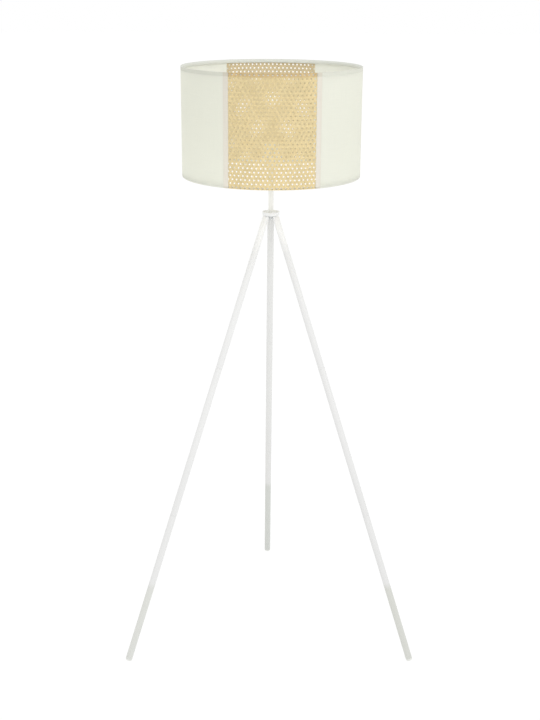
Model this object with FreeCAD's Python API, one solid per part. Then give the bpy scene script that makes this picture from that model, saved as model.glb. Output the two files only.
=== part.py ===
"""Tripod floor lamp with a drum shade of fabric and woven cane.

The frame has its origin on the lamp's axis at floor level, +Z up, and the front of the
lamp, with one cane panel, faces -Y. Two legs stand to the front, left and right, and one
stands behind. All sizes are in millimetres.
"""
import FreeCAD, Part
import math
import os

V = FreeCAD.Vector
UP = V(0, 0, 1)

# ---- driving dimensions ------------------------------------------------------------
# tripod
HUB_R = 22.0                # hub disc
HUB_T = 9.0
HUB_BOTTOM = 1167.5         # height of the disc's underside
APEX_Z = 1203.4             # the three leg axes meet here on the lamp's axis
SPLAY = 19.9                # each leg's lean from the vertical, degrees
LEG_AT = {"back": 90.0, "left": 210.0, "right": 330.0}
LEG_R = 8.5                 # leg tube, outside radius
LEG_WALL = 1.0
LEG_SECTIONS = ("upper", "middle", "lower")
LEG_HUB_GAP = 0.3           # least gap between a tube's end and the disc
STUD_R = 4.0                # M8 studs
STUD_FREE = 0.05            # a thread's radial freedom
PLUG_FREE = 0.05            # a plug's radial freedom in its tube
PLUG_LENGTH = 20.0
STUD_REACH = 16.0           # how far a stud goes into its socket
# feet
CAP_HEAD = 6.0              # length of the cap below the tube
CAP_ROUND = 4.0             # rounding of the cap's edge
CAP_SPIGOT = 14.0
FACET_CUT = 0.6             # depth worn off the rounding by the floor facet
# rod and stem
ROD_R = 5.0                 # M10 x 1 hollow rod
ROD_BORE_R = 4.0
ROD_BOTTOM = 1156.0
STEM_R = 6.5
STEM_WALL = 1.2
WASHER_R, WASHER_T = 7.6, 0.8
NUT_FLATS, NUT_T = 13.0, 3.2
BUSH_BORE_R = 3.1
BUSH_FLANGE_R, BUSH_FLANGE_T = 5.4, 1.6
BUSH_LENGTH = 9.0           # whole bush, flange included
# lampholder
HOLDER_BOTTOM = 1284.0
CAP_BOSS_R, CAP_BOSS_T = 9.5, 12.0
HOLDER_R = 19.5             # cap, outside
HOLDER_WALL = 2.0
HOLDER_CAP_H = 24.0
SKIRT_R = 19.75             # outer thread of the body
SKIRT_H = 42.0
SHOULDER_R, SHOULDER_T = 26.5, 2.4
SHOULDER_TOP = 1313.0
CORE_R, CORE_H = 16.9, 12.0
CORE_BOTTOM = 1309.4
SHELL_BORE_R = 13.2         # E27 screw shell
SHELL_T = 0.6
SHELL_H = 26.0
POCKET_R, POCKET_DEEP = 8.6, 6.0
TONGUE_W, TONGUE_T = 5.0, 0.5
TONGUE_ROOT_X, TONGUE_TIP_X = -6.0, 4.0
TONGUE_RISE = 5.4           # its top stays just under the screw shell's bore
SCREW_R, SCREW_HEAD_R = 1.45, 2.6   # M3
SCREW_FREE = 0.05
TERMINAL_X = 11.5
# shade
SHADE_R = 225.0             # outside of the fabric
SHADE_BOTTOM, SHADE_TOP = 1270.0, 1540.0
BINDING_T = 0.4
BINDING_DEEP = 9.0          # how far the binding reaches from the edge, inside the shade
HOOP_INSET = 4.6            # each hoop's wire centre, from the shade's edge
FABRIC_T = 0.6
CANE_T = 1.0
LAYER_GAP = 0.1
WIRE_R = 1.75               # hoops and arms
CANE_HALF = 31.0            # half angle of each cane panel, degrees
LAP = 3.5                   # how far the fabric laps over the cane's edge, degrees
FITTER_BORE_R, FITTER_R, FITTER_T = 20.8, 31.0, 2.0
SEAT_GAP = 0.3              # between the turning fitting and its seat and clamp
ARM_AT = {"a": 90.0, "b": 210.0, "c": 330.0}
ARM_START_R = 27.5
CLAMP_R, CLAMP_H = 26.5, 7.0
CLAMP_FREE = 0.1            # running clearance on the thread
CLAMP_NOTCHES, CLAMP_NOTCH_R = 24, 0.9

# ---- worked out from them ----------------------------------------------------------
HUB_TOP = HUB_BOTTOM + HUB_T
SPLAY_SIN = math.sin(math.radians(SPLAY))
SPLAY_COS = math.cos(math.radians(SPLAY))
# distances along a leg's axis, from the apex down
LEG_TOP_Z = HUB_BOTTOM - LEG_HUB_GAP - LEG_R * SPLAY_SIN
LEG_START = (APEX_Z - LEG_TOP_Z) / SPLAY_COS
ROUND_CENTRE_Z = CAP_ROUND - FACET_CUT
FOOT_END_Z = ROUND_CENTRE_Z - CAP_ROUND * SPLAY_COS + (LEG_R - CAP_ROUND) * SPLAY_SIN
FOOT_END = (APEX_Z - FOOT_END_Z) / SPLAY_COS
TUBE_END = FOOT_END - CAP_HEAD
SECTION = (TUBE_END - LEG_START) / len(LEG_SECTIONS)
ROD_TOP = HOLDER_BOTTOM + CAP_BOSS_T
BODY_BOTTOM = HOLDER_BOTTOM + HOLDER_CAP_H
BODY_TOP = BODY_BOTTOM + SKIRT_H
CORE_TOP = CORE_BOTTOM + CORE_H
FABRIC_IN_R = SHADE_R - FABRIC_T
CANE_OUT_R = FABRIC_IN_R - LAYER_GAP
CANE_IN_R = CANE_OUT_R - CANE_T
HOOP_R = CANE_IN_R - LAYER_GAP - WIRE_R
FITTER_BOTTOM = SHOULDER_TOP + SEAT_GAP
CLAMP_BOTTOM = FITTER_BOTTOM + FITTER_T + SEAT_GAP


# ---- helpers -----------------------------------------------------------------------
def save(node, *solids):
    """Write one node, of one solid or of several separate ones."""
    shape = solids[0] if len(solids) == 1 else Part.makeCompound(list(solids))
    shape.exportStep("parts/" + node + ".step")


def tube(outer, inner, bottom, top):
    """An upright tube on the lamp's axis."""
    body = Part.makeCylinder(outer, top - bottom, V(0, 0, bottom))
    return body.cut(Part.makeCylinder(inner, top - bottom, V(0, 0, bottom)))


def revolved(points, sweep=360):
    """A solid turned about the lamp's axis from an outline of (radius, height)."""
    outline = Part.makePolygon([V(r, 0, z) for r, z in points + points[:1]])
    return Part.Face(outline).revolve(V(0, 0, 0), UP, sweep)


def turned(shape, angle):
    """A copy of the shape, turned about the lamp's axis."""
    copy = shape.copy()
    copy.rotate(V(0, 0, 0), UP, angle)
    return copy


def curved_plate(outer, inner, start, sweep):
    """A wall panel of the shade, from one angle round to another."""
    height = SHADE_TOP - SHADE_BOTTOM
    base = V(0, 0, SHADE_BOTTOM)
    plate = Part.makeCylinder(outer, height, base, UP, sweep)
    plate = plate.cut(Part.makeCylinder(inner, height, base, UP, 360))
    return turned(plate, start)


def leg_point(angle, along):
    """The point on a leg's axis, so far down from the apex."""
    turn = math.radians(angle)
    out = along * SPLAY_SIN
    return V(out * math.cos(turn), out * math.sin(turn), APEX_Z - along * SPLAY_COS)


def leg_way(angle):
    """The unit direction down a leg."""
    return leg_point(angle, 1.0) - leg_point(angle, 0.0)


def leg_rod(angle, radius, start, end):
    """A round bar on a leg's axis, between two distances from the apex."""
    return Part.makeCylinder(radius, end - start, leg_point(angle, start), leg_way(angle))


# ---- hub ---------------------------------------------------------------------------
def hub():
    """The disc, with its edges eased, and the three studs that hold the legs."""
    disc = Part.makeCylinder(HUB_R, HUB_T, V(0, 0, HUB_BOTTOM))
    disc = disc.makeFillet(1.2, [edge for edge in disc.Edges if edge.Closed])
    disc = disc.cut(Part.makeCylinder(ROD_R + STUD_FREE, HUB_T, V(0, 0, HUB_BOTTOM)))
    # a stud goes into the disc as far as 1.5 mm under its top face
    stud_top = (APEX_Z - HUB_TOP + 1.5 + STUD_R * SPLAY_SIN) / SPLAY_COS
    studs = []
    for angle in LEG_AT.values():
        stud = leg_rod(angle, STUD_R, stud_top, LEG_START + STUD_REACH)
        disc = disc.cut(leg_rod(angle, STUD_R + STUD_FREE, stud_top, LEG_START))
        studs.append(stud)
    save("hub_disc", disc)
    save("hub_leg_studs", *studs)


def rod_and_stem():
    """The hollow rod with its washer, nut and bush, and the sleeve above the disc."""
    save("hollow_rod", tube(ROD_R, ROD_BORE_R, ROD_BOTTOM, ROD_TOP))
    save("stem_sleeve", tube(STEM_R, STEM_R - STEM_WALL, HUB_TOP, HOLDER_BOTTOM))
    washer_bottom = HUB_BOTTOM - WASHER_T
    save("hub_washer", tube(WASHER_R, ROD_R + STUD_FREE, washer_bottom, HUB_BOTTOM))
    nut_bottom = washer_bottom - NUT_T
    corner = NUT_FLATS / 2 / math.cos(math.radians(30))
    ring = [math.radians(60 * step) for step in range(7)]
    outline = Part.makePolygon(
        [V(corner * math.cos(turn), corner * math.sin(turn), nut_bottom) for turn in ring])
    nut = Part.Face(outline).extrude(V(0, 0, NUT_T))
    nut = nut.cut(Part.makeCylinder(ROD_R + STUD_FREE, NUT_T, V(0, 0, nut_bottom)))
    save("hub_nut", nut)
    flange_bottom = ROD_BOTTOM - BUSH_FLANGE_T
    save("cord_bush", revolved([
        (BUSH_BORE_R, flange_bottom),
        (BUSH_FLANGE_R, flange_bottom),
        (BUSH_FLANGE_R, ROD_BOTTOM),
        (ROD_BORE_R - PLUG_FREE, ROD_BOTTOM),
        (ROD_BORE_R - PLUG_FREE, flange_bottom + BUSH_LENGTH),
        (BUSH_BORE_R, flange_bottom + BUSH_LENGTH),
    ]))


# ---- legs --------------------------------------------------------------------------
def legs():
    """Three legs, each of three tube sections screwed end to end, with a cap below."""
    plug_r = LEG_R - LEG_WALL - PLUG_FREE
    top_inserts, sockets, studs = [], [], []
    for side, angle in LEG_AT.items():
        for number, section in enumerate(LEG_SECTIONS):
            start = LEG_START + number * SECTION
            end = start + SECTION
            wall = leg_rod(angle, LEG_R, start, end)
            wall = wall.cut(leg_rod(angle, LEG_R - LEG_WALL, start, end))
            save("leg_" + section + "_" + side, wall)
            if section != LEG_SECTIONS[-1]:
                socket = leg_rod(angle, plug_r, end - PLUG_LENGTH, end)
                sockets.append(socket.cut(
                    leg_rod(angle, STUD_R + STUD_FREE, end - PLUG_LENGTH, end)))
                studs.append(leg_rod(angle, plug_r, end, end + PLUG_LENGTH).fuse(
                    leg_rod(angle, STUD_R, end - STUD_REACH, end)))
        insert = leg_rod(angle, plug_r, LEG_START, LEG_START + PLUG_LENGTH)
        top_inserts.append(insert.cut(
            leg_rod(angle, STUD_R + STUD_FREE, LEG_START, LEG_START + PLUG_LENGTH)))
        save("foot_cap_" + side, foot_cap(angle, plug_r))
    save("leg_top_inserts", *top_inserts)
    save("leg_joint_sockets", *sockets)
    save("leg_joint_studs", *studs)


def foot_cap(angle, spigot_r):
    """A round-edged end cap, with a small level facet where it stands on the floor."""
    head = leg_rod(angle, LEG_R, TUBE_END, FOOT_END)
    end_point = leg_point(angle, FOOT_END)
    rims = [edge for edge in head.Edges if edge.Closed
            and edge.Curve.Center.distanceToPoint(end_point) < 0.01]
    head = head.makeFillet(CAP_ROUND, rims)
    cap = head.fuse(leg_rod(angle, spigot_r, TUBE_END - CAP_SPIGOT, TUBE_END))
    below = Part.makeBox(60, 60, 20, leg_point(angle, FOOT_END) - V(30, 30, 20 + FOOT_END_Z))
    return cap.cut(below)


# ---- lampholder --------------------------------------------------------------------
def holder_cap():
    """The cap: a threaded boss below, a dome above it, and a side screw in the boss."""
    top = BODY_BOTTOM
    dome_z = HOLDER_BOTTOM + 14.0
    inner = HOLDER_R - HOLDER_WALL
    start, end = V(CAP_BOSS_R, 0, HOLDER_BOTTOM + 3), V(HOLDER_R, 0, dome_z)
    lift = (HOLDER_R - CAP_BOSS_R) * 0.72
    middle = V(CAP_BOSS_R + lift, 0, dome_z - lift)
    edges = [Part.Arc(start, middle, end).toShape()]
    rest = [end, V(HOLDER_R, 0, top), V(inner, 0, top), V(inner, 0, dome_z + 1),
            V(CAP_BOSS_R + 1, 0, ROD_TOP), V(ROD_R + STUD_FREE, 0, ROD_TOP),
            V(ROD_R + STUD_FREE, 0, HOLDER_BOTTOM), V(CAP_BOSS_R, 0, HOLDER_BOTTOM), start]
    edges += [Part.LineSegment(a, b).toShape() for a, b in zip(rest, rest[1:])]
    cap = Part.Face(Part.Wire(edges)).revolve(V(0, 0, 0), UP, 360)
    screw_z = HOLDER_BOTTOM + 4.5
    hole = Part.makeCylinder(SCREW_R + SCREW_FREE, 20, V(0, ROD_R, screw_z), V(0, 1, 0))
    screw = Part.makeCylinder(SCREW_R, CAP_BOSS_R - ROD_R, V(0, ROD_R + 0.1, screw_z), V(0, 1, 0))
    save("holder_cap", cap.cut(hole))
    save("cap_screw", screw)


def holder_body():
    """The skirt, with the shoulder that carries the shade, and the insulating core."""
    inner = CORE_R + 0.2
    lip = SHELL_BORE_R + SHELL_T + 0.3
    shoulder_bottom = SHOULDER_TOP - SHOULDER_T
    save("holder_body", revolved([
        (inner, BODY_BOTTOM), (HOLDER_R, BODY_BOTTOM), (HOLDER_R, shoulder_bottom),
        (SHOULDER_R, shoulder_bottom), (SHOULDER_R, SHOULDER_TOP),
        (SKIRT_R, SHOULDER_TOP), (SKIRT_R, BODY_TOP - 0.8), (SKIRT_R - 0.8, BODY_TOP),
        (lip, BODY_TOP), (lip, BODY_TOP - 2.0), (inner, BODY_TOP - 2.0),
    ]))
    core = Part.makeCylinder(CORE_R, CORE_H, V(0, 0, CORE_BOTTOM))
    pocket = Part.makeCylinder(POCKET_R, POCKET_DEEP, V(0, 0, CORE_TOP - POCKET_DEEP))
    core = core.cut(pocket)
    screws = []
    shank, head = 5.0, 2.0
    for side in (-1, 1):
        at = V(side * TERMINAL_X, 0, CORE_BOTTOM)
        core = core.cut(Part.makeCylinder(SCREW_R + SCREW_FREE, shank, at))
        screws.append(Part.makeCylinder(SCREW_R, shank - 0.2, at).fuse(
            Part.makeCylinder(SCREW_HEAD_R, head, at - V(0, 0, head))))
    save("holder_core", core)
    save("terminal_screws", *screws)


def holder_contacts():
    """The brass screw shell, and the sprung tongue that meets the bulb's centre."""
    shell_r = SHELL_BORE_R + SHELL_T
    save("screw_shell", revolved([
        (POCKET_R + 0.4, CORE_TOP), (shell_r, CORE_TOP), (shell_r, CORE_TOP + SHELL_H),
        (SHELL_BORE_R, CORE_TOP + SHELL_H), (SHELL_BORE_R, CORE_TOP + SHELL_T),
        (POCKET_R + 0.4, CORE_TOP + SHELL_T),
    ]))
    root = CORE_TOP - POCKET_DEEP + 0.4
    side = -TONGUE_W / 2
    # a slanted strip with a short level tip
    line = [(TONGUE_ROOT_X, root), (TONGUE_TIP_X - 3.0, root + TONGUE_RISE),
            (TONGUE_TIP_X, root + TONGUE_RISE)]
    outline = line + [(x, z + TONGUE_T) for x, z in reversed(line)]
    wire = Part.makePolygon([V(x, side, z) for x, z in outline + outline[:1]])
    save("centre_contact", Part.Face(wire).extrude(V(0, TONGUE_W, 0)))


def clamp_ring():
    """The ring that screws down on the shade's fitting, notched round its grip."""
    top = CLAMP_BOTTOM + CLAMP_H
    bore = SKIRT_R + CLAMP_FREE
    ring = revolved([
        (bore, CLAMP_BOTTOM), (CLAMP_R, CLAMP_BOTTOM), (CLAMP_R, CLAMP_BOTTOM + 3.0),
        (bore + 3.0, CLAMP_BOTTOM + 4.0), (bore + 3.0, top - 0.6), (bore + 2.4, top),
        (bore, top),
    ])
    notch = Part.makeCylinder(CLAMP_NOTCH_R, 5.0, V(CLAMP_R + 0.2, 0, CLAMP_BOTTOM - 0.5))
    notches = [turned(notch, step * 360.0 / CLAMP_NOTCHES) for step in range(CLAMP_NOTCHES)]
    save("clamp_ring", ring.cut(notches))


# ---- shade -------------------------------------------------------------------------
def shade_frame():
    """The wire hoops, the fitting that sits on the lampholder and its three arms."""
    top_z = SHADE_TOP - HOOP_INSET
    bottom_z = SHADE_BOTTOM + HOOP_INSET
    hoop = Part.makeTorus(HOOP_R, WIRE_R, V(0, 0, bottom_z))
    save("bottom_ring", hoop)
    save("top_ring", Part.makeTorus(HOOP_R, WIRE_R, V(0, 0, top_z)))
    fitter = tube(FITTER_R, FITTER_BORE_R, FITTER_BOTTOM, FITTER_BOTTOM + FITTER_T)
    save("spider_ring", fitter)
    start = V(ARM_START_R, 0, FITTER_BOTTOM - WIRE_R + 0.2)
    end = V(HOOP_R - 0.6, 0, bottom_z)
    bar = Part.makeCylinder(WIRE_R, start.distanceToPoint(end), start, end - start)
    arm = bar.cut(fitter).cut(hoop)
    for name, angle in ARM_AT.items():
        save("spider_arm_" + name, turned(arm, angle))
    slit = Part.makeCylinder(WIRE_R + 0.3, start.distanceToPoint(end), start, end - start)
    return [turned(slit, angle) for angle in ARM_AT.values()]


def shade_cover():
    """Fabric and cane panels, the fabric lapped over the cane at its upright edges."""
    cane_sweep = 2 * CANE_HALF
    fabric_sweep = 180.0 - cane_sweep + 2 * LAP
    for side, facing in (("front", 270.0), ("back", 90.0)):
        save("cane_" + side,
             curved_plate(CANE_OUT_R, CANE_IN_R, facing - CANE_HALF, cane_sweep))
    for side, facing in (("right", 0.0), ("left", 180.0)):
        save("fabric_" + side,
             curved_plate(SHADE_R, FABRIC_IN_R, facing - fabric_sweep / 2, fabric_sweep))


def edge_binding(node, edge, way, slits):
    """Tape stuck inside the shade from its edge, slanting over the hoop and down past it.

    Where there is fabric only, a narrow flange closes the step out to it. The way is -1 for
    the top edge and 1 for the bottom one.
    """
    rise = math.sqrt(2.0) * (WIRE_R + LAYER_GAP)
    rise_out = rise + math.sqrt(2.0) * BINDING_T
    outer = CANE_IN_R - LAYER_GAP
    under = HOOP_R - WIRE_R - LAYER_GAP
    inner = under - BINDING_T

    def level(radius, lift):
        """The height where a slant at 45 degrees over the hoop reaches the radius."""
        return edge + way * (HOOP_INSET - (radius - HOOP_R) - lift)

    end = level(outer, rise)
    tape = revolved([
        (outer, edge), (HOOP_R + HOOP_INSET - rise_out, edge), (inner, level(inner, rise_out)),
        (inner, edge + way * BINDING_DEEP), (under, edge + way * BINDING_DEEP),
        (under, level(under, rise)), (outer, end),
    ])
    half_sweep = 90.0 - CANE_HALF - math.degrees(LAYER_GAP / outer)
    step = revolved([(outer, edge), (FABRIC_IN_R - LAYER_GAP, edge),
                     (FABRIC_IN_R - LAYER_GAP, end), (outer, end)], 2 * half_sweep)
    tape = tape.fuse([turned(step, facing - half_sweep) for facing in (0.0, 180.0)])
    save(node, tape.cut(slits) if slits else tape)


def main():
    os.makedirs("parts", exist_ok=True)
    hub()
    rod_and_stem()
    legs()
    holder_cap()
    holder_body()
    holder_contacts()
    clamp_ring()
    arm_slits = shade_frame()
    shade_cover()
    edge_binding("top_binding", SHADE_TOP, -1, [])
    edge_binding("bottom_binding", SHADE_BOTTOM, 1, arm_slits)


main()
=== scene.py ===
"""Looks of a tripod floor lamp: a slim white stand under a drum shade of fabric and woven cane.

Everything is in metres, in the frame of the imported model: the lamp's axis is Z, the floor is
z = 0 and the front of the lamp, with one cane panel, faces -Y. Two legs stand to the front and
one behind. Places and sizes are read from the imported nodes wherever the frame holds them.
"""
import logging
import math
from dataclasses import dataclass, replace
from enum import Enum
from typing import Any, Callable, ClassVar, Sequence

import bpy
import numpy as np
from mathutils import Matrix, Vector


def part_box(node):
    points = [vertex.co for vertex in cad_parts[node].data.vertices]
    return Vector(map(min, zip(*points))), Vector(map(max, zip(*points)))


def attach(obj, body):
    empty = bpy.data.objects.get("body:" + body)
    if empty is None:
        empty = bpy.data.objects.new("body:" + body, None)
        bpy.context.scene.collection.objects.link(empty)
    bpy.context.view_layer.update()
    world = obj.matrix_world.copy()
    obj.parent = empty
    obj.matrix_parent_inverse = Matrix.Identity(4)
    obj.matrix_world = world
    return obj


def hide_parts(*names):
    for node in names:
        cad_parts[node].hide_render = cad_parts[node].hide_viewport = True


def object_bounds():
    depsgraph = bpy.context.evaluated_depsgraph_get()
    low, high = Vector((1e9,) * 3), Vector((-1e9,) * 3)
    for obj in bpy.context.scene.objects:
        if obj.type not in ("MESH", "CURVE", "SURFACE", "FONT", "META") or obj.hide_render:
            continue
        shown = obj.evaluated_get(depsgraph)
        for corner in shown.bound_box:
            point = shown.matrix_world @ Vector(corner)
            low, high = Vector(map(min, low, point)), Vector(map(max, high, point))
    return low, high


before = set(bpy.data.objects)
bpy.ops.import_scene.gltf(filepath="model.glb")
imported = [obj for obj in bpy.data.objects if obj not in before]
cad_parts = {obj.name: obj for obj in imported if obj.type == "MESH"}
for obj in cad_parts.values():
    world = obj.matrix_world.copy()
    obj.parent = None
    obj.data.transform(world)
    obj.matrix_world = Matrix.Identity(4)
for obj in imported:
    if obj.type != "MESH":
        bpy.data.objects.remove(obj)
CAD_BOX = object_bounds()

log = logging.getLogger("lamp")
MM = 0.001
WELD = 0.002 * MM
STAND, SHADE = "stand", "shade"
Rgba = tuple[float, float, float, float]
Source = float | Rgba | bpy.types.NodeSocket


# ---- colours and nodes ---------------------------------------------------------------

def linear(colour: str) -> Rgba:
    """Turns an sRGB hex colour into linear RGBA.

    Args:
        colour: Six hex digits.

    Returns:
        The linear colour with full alpha.
    """
    parts = [int(colour[i:i + 2], 16) / 255 for i in (0, 2, 4)]
    red, green, blue = (c / 12.92 if c <= 0.04045 else ((c + 0.055) / 1.055) ** 2.4 for c in parts)
    return red, green, blue, 1.0


def add_node(tree: bpy.types.NodeTree, kind: str, inputs: dict[Any, Any] | None = None,
             **settings: Any) -> bpy.types.Node:
    """Adds one node with its settings, values and links.

    Args:
        tree: The node tree.
        kind: The node's type, without the common "ShaderNode".
        inputs: Socket name or number, and its value or the output socket that feeds it.
        settings: The node's own properties.

    Returns:
        The new node.
    """
    node = tree.nodes.new("ShaderNode" + kind)
    for key, value in settings.items():
        setattr(node, key, value)
    for key, value in (inputs or {}).items():
        if isinstance(value, bpy.types.NodeSocket):
            tree.links.new(value, node.inputs[key])
        else:
            node.inputs[key].default_value = value
    return node


def band_scale(spacing: float) -> float:
    """Gives a wave texture's scale for bands that are so many metres apart."""
    return math.pi / (10 * spacing)


@dataclass(frozen=True)
class Layers:
    """What a finish's pattern gives its shader: colour, height of the relief and roughness.

    The share that lets light through counts only in a finish that has a glow.
    """

    colour: Source
    height: Source
    roughness: Source
    through: Source = 0.0


@dataclass(frozen=True)
class Finish:
    """What every finish has: name, colour, roughness, index of refraction and relief.

    The relief is how strongly its bumps show and the depth is how deep they are. The tones are
    the darkest and the lightest share of its colour. A glow is the colour of the light that
    comes through, and shader holds what else its Principled node needs.
    """

    name: str
    colour: str
    roughness: float = 0.5
    ior: float = 1.5
    relief: float = 0.25
    depth: float = 0.02 * MM
    tones: tuple[float, float] = (0.95, 1.05)
    glow: str = ""
    shader: ClassVar[dict[str, float]] = {}

    def material(self) -> bpy.types.Material:
        """Gives the finish's material, made the first time that it is asked for."""
        made = bpy.data.materials.get(self.name)
        if made is not None and made.get("lamp_finish"):
            return made
        made = bpy.data.materials.new(self.name)
        made["lamp_finish"] = True
        made.use_nodes = True
        made.diffuse_color = linear(self.colour)
        tree = made.node_tree
        tree.nodes.clear()
        layers = self.pattern(tree)
        bump = add_node(tree, "Bump", {"Strength": self.relief, "Distance": self.depth,
                                       "Height": layers.height})
        surface = add_node(tree, "BsdfPrincipled", {
            "Base Color": layers.colour, "Roughness": layers.roughness, "IOR": self.ior,
            "Normal": bump.outputs[0], **self.shader}).outputs[0]
        if self.glow:
            behind = add_node(tree, "BsdfTranslucent", {"Color": linear(self.glow)})
            surface = add_node(tree, "MixShader", {0: layers.through, 1: surface,
                                                   2: behind.outputs[0]}).outputs[0]
        add_node(tree, "OutputMaterial", {"Surface": surface})
        return made

    def pattern(self, tree: bpy.types.NodeTree) -> Layers:
        """Adds the finish's own pattern, which each kind of finish says for itself."""
        raise NotImplementedError

    def toned(self, tree: bpy.types.NodeTree, colour: Source,
              *tones: tuple[Any, ...]) -> bpy.types.NodeSocket:
        """Makes a colour darker or lighter by one tone after the other.

        Args:
            tree: The material's node tree.
            colour: The colour, or the socket that gives it.
            tones: For each tone the socket of its value, and the tone at that value's start
                and at its end. The start and the end follow where they are not 0 and 1.

        Returns:
            The socket of the toned colour.
        """
        for value, first, last, *span in tones:
            start, end = span or (0.0, 1.0)
            tone = add_node(tree, "MapRange", {"Value": value, "From Min": start, "From Max": end,
                                               "To Min": first, "To Max": last}).outputs[0]
            colour = add_node(tree, "Mix", {0: 1.0, 6: colour, 7: tone}, data_type="RGBA",
                              blend_type="MULTIPLY").outputs[2]
        return colour

    def wear(self, obj: bpy.types.Object) -> bpy.types.Object:
        """Puts the finish on every material slot of an object, and gives it back."""
        if not obj.data.materials:
            obj.data.materials.append(self.material())
        for number in range(len(obj.data.materials)):
            obj.data.materials[number] = self.material()
        return obj


@dataclass(frozen=True)
class PowderCoat(Finish):
    """White powder coat baked on steel: satin, with a faint orange peel.

    The peel's bumps are about 1 mm apart, and the tone is cloudy over about 11 cm. A leg's coat
    is greyer below a step at a given height. Above the step it darkens slowly down towards the
    step as painted shade, and it can be whiter over the last centimetres below the hub as painted
    light against the shade there.
    """

    foot_colour: str = "DCDDD8"
    step_height: float = -1.0
    step_soft: float = 12.0 * MM
    fade: float = 0.93
    top_height: float = 1.13
    top_tone: float = 1.0
    top_reach: float = 60.0 * MM
    cloud: float = 111.11 * MM
    peel: float = 1.0 * MM
    tones: tuple[float, float] = (0.975, 1.01)

    def pattern(self, tree: bpy.types.NodeTree) -> Layers:
        """Adds the orange peel, a cloudy tone, the painted shade and light, and the grey foot."""
        place = add_node(tree, "TexCoord").outputs["Object"]
        cloud = add_node(tree, "TexNoise", {"Vector": place, "Scale": 1 / self.cloud,
                                            "Detail": 3.0})
        height = add_node(tree, "SeparateXYZ", {"Vector": place}).outputs["Z"]
        above = add_node(tree, "MapRange", {
            "Value": height, "From Min": self.step_height - self.step_soft,
            "From Max": self.step_height + self.step_soft}, interpolation_type="SMOOTHSTEP")
        # painted shade: darker down to the step; painted light: whiter just under the hub
        upper = self.toned(tree, linear(self.colour),
                           (height, self.fade, 1.0, self.step_height, self.top_height),
                           (height, 1.0, self.top_tone, self.top_height - self.top_reach,
                            self.top_height))
        coat = add_node(tree, "Mix", {0: above.outputs[0], 6: linear(self.foot_colour), 7: upper},
                        data_type="RGBA").outputs[2]
        peel = add_node(tree, "TexNoise", {"Vector": place, "Scale": 1 / self.peel, "Detail": 1.0})
        return Layers(self.toned(tree, coat, (cloud.outputs[0], *self.tones)), peel.outputs[0],
                      self.roughness)


@dataclass(frozen=True)
class MouldedPlastic(Finish):
    """Moulded thermoplastic: even colour, a fine spark-eroded grain and soft highlights.

    The grain is about 0.5 mm. Slight scuffs, 17 mm apart, change the roughness.
    """

    grain: float = 0.5 * MM
    scuff: float = 16.667 * MM
    rubbed: tuple[float, float] = (-0.08, 0.1)
    relief: float = 0.2
    tones: tuple[float, float] = (0.96, 1.02)

    def pattern(self, tree: bpy.types.NodeTree) -> Layers:
        """Adds the mould's grain, faint flow marks and scuffs."""
        place = add_node(tree, "TexCoord").outputs["Object"]
        scuff = add_node(tree, "TexNoise", {"Vector": place, "Scale": 1 / self.scuff,
                                            "Detail": 4.0}).outputs[0]
        rough = add_node(tree, "MapRange", {
            "Value": scuff, "To Min": self.roughness + self.rubbed[0],
            "To Max": self.roughness + self.rubbed[1]}).outputs[0]
        grain = add_node(tree, "TexVoronoi", {"Vector": place, "Scale": 1 / self.grain})
        return Layers(self.toned(tree, linear(self.colour), (scuff, *self.tones)),
                      grain.outputs["Distance"], rough)


@dataclass(frozen=True)
class PlatedMetal(Finish):
    """Plated or pressed metal: a cloudy bright surface with turned or drawn lines round Z.

    The lines are about 0.4 mm apart, as a lathe or a thread roller leaves them. The clouds are
    5.6 mm apart, and duller in places.
    """

    line: float = 0.4 * MM
    cloud: float = 5.5556 * MM
    dulled: tuple[float, float] = (-0.1, 0.15)
    relief: float = 0.35
    depth: float = 0.03 * MM
    tones: tuple[float, float] = (0.85, 1.05)
    shader: ClassVar[dict[str, float]] = {"Metallic": 1.0}

    def pattern(self, tree: bpy.types.NodeTree) -> Layers:
        """Adds fine level lines, and a plating that is duller in clouds."""
        place = add_node(tree, "TexCoord").outputs["Object"]
        cloud = add_node(tree, "TexNoise", {"Vector": place, "Scale": 1 / self.cloud,
                                            "Detail": 3.0}).outputs[0]
        rough = add_node(tree, "MapRange", {
            "Value": cloud, "To Min": self.roughness + self.dulled[0],
            "To Max": self.roughness + self.dulled[1]}).outputs[0]
        lines = add_node(tree, "TexWave", {"Vector": place, "Scale": band_scale(self.line),
                                           "Distortion": 0.4}, bands_direction="Z")
        return Layers(self.toned(tree, linear(self.colour), (cloud, *self.tones)),
                      lines.outputs[1], rough)


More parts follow.
